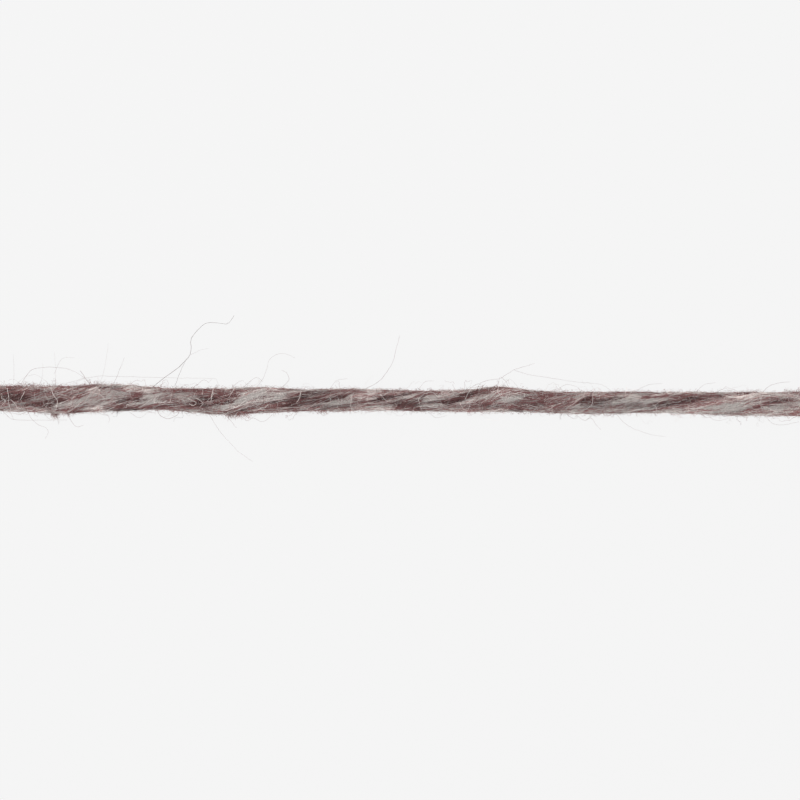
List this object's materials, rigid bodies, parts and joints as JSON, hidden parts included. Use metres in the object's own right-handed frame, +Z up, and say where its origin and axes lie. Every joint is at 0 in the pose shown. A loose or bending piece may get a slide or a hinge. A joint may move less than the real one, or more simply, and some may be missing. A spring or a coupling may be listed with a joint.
{
  "type": "strand of plied wool yarn",
  "caption": "Straight cut length of marled wool yarn, its singles plied with an S twist, thick and thin along its run, for knitting, tying or trimming.",
  "frame": {"origin": "middle of the strand's length and width, on the surface that it lies on", "axes": "+X along the strand, +Y across it, +Z up from the surface"},
  "size_m": [0.112, 0.0038, 0.0035],
  "materials": {
    "wool": "matt, hairy marl of burgundy and pale grey wool"
  },
  "bodies": {
    "root": {"yarn_strand": "wool"}
  },
  "joints": []
}
